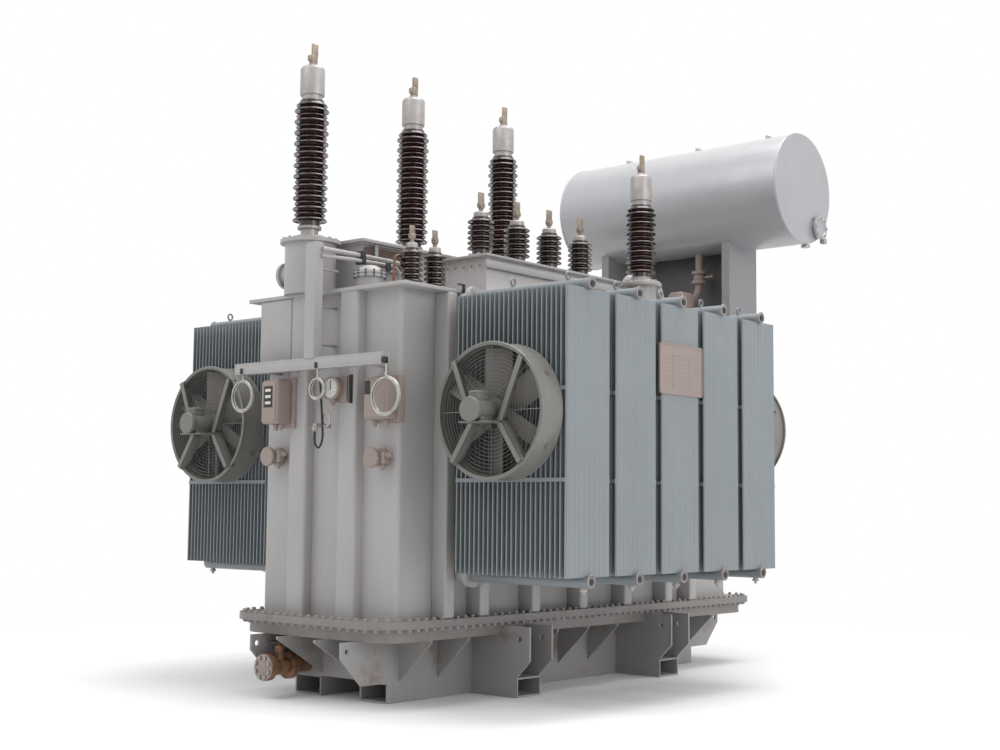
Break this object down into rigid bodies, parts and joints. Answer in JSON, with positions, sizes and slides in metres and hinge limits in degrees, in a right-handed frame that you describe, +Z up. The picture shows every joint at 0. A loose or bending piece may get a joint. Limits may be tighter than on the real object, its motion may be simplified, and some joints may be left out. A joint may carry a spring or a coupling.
{
  "type": "power transformer",
  "caption": "Oil-filled power transformer on a beam skid, with finned radiator banks, cooling fans, porcelain bushings, an end instrument panel and a cross-mounted conservator.",
  "frame": {"origin": "middle of the overall length and width, at the underside of the skid", "axes": "+X towards the conservator end, -Y towards the side with the nameplate, +Z up"},
  "size_m": [5.82, 4.348, 5.265],
  "materials": {
    "tank_paint": "satin light warm grey",
    "base_paint": "satin grey",
    "radiator_paint": "satin blue grey",
    "fan_paint": "satin olive grey",
    "rotor_paint": "satin grey",
    "silver_paint": "gloss silver grey",
    "porcelain": "glossy dark brown",
    "cast_aluminium": "cast and lightly polished",
    "terminal_brass": "dull tinned bronze",
    "instrument_enamel": "satin pinkish beige",
    "conduit_metal": "ribbed flexible steel",
    "valve_bronze": "weathered cast bronze",
    "black_plastic": "black enamel"
  },
  "bodies": {
    "root": {"bushing_caps": "cast_aluminium", "bushing_flanges": "cast_aluminium", "bushing_terminals": "terminal_brass", "cable_tray": "tank_paint", "conduit_coil_left": "conduit_metal", "conduit_coil_middle": "conduit_metal", "conduit_coil_right": "conduit_metal", "conservator_ends": "silver_paint", "conservator_shell": "silver_paint", "conservator_supports": "silver_paint", "cover_fitting": "tank_paint", "cross_beams": "base_paint", "drain_valve": "valve_bronze", "end_brackets": "base_paint", "fan_motor_front_left": "fan_paint", "fan_motor_front_right": "fan_paint", "fan_motor_rear_left": "fan_paint", "fan_motor_rear_right": "fan_paint", "fan_shroud_front_left": "fan_paint", "fan_shroud_front_right": "fan_paint", "fan_shroud_rear_left": "fan_paint", "fan_shroud_rear_right": "fan_paint", "haul_brackets": "base_paint", "hv_box": "tank_paint", "hv_bushings": "porcelain", "hv_turret": "tank_paint", "instrument_boxes": "instrument_enamel", "junction_boxes": "instrument_enamel", "keel_box": "base_paint", "lower_flange": "tank_paint", "lower_pan": "base_paint", "lv_box": "tank_paint", "lv_bushings": "porcelain", "nameplate": "instrument_enamel", "neutral_turret": "tank_paint", "pan_ribs": "base_paint", "radiator_left_1": "radiator_paint", "radiator_left_2": "radiator_paint", "radiator_left_3": "radiator_paint", "radiator_left_4": "radiator_paint", "radiator_left_5": "radiator_paint", "radiator_right_1": "radiator_paint", "radiator_right_2": "radiator_paint", "radiator_right_3": "radiator_paint", "radiator_right_4": "radiator_paint", "radiator_right_5": "radiator_paint", "radiator_valves": "tank_paint", "relay_pipe": "tank_paint", "skid_beams": "base_paint", "tank_cover": "tank_paint", "tank_shell": "tank_paint", "upper_flange": "tank_paint", "wall_stiffeners": "tank_paint"},
    "rotor_front_left": {"fan_rotor_front_left": "rotor_paint"},
    "rotor_front_right": {"fan_rotor_front_right": "rotor_paint"},
    "rotor_rear_left": {"fan_rotor_rear_left": "rotor_paint"},
    "rotor_rear_right": {"fan_rotor_rear_right": "rotor_paint"},
    "handwheel": {"drain_handwheel": "black_plastic"}
  },
  "joints": [
    {"name": "spin_front_right", "type": "hinge", "parent": "root", "child": "rotor_front_right", "pos_m": [-2.306, -1.616, 2.195], "axis": [1, 0, 0], "continuous": true},
    {"name": "spin_front_left", "type": "hinge", "parent": "root", "child": "rotor_front_left", "pos_m": [-2.306, 1.616, 2.195], "axis": [1, 0, 0], "continuous": true},
    {"name": "spin_rear_right", "type": "hinge", "parent": "root", "child": "rotor_rear_right", "pos_m": [0.626, -1.616, 2.195], "axis": [1, 0, 0], "continuous": true},
    {"name": "spin_rear_left", "type": "hinge", "parent": "root", "child": "rotor_rear_left", "pos_m": [0.626, 1.616, 2.195], "axis": [1, 0, 0], "continuous": true},
    {"name": "turn_handwheel", "type": "hinge", "parent": "root", "child": "handwheel", "pos_m": [-2.72, 0.385, 0.425], "axis": [0, 0, 1], "continuous": true}
  ]
}
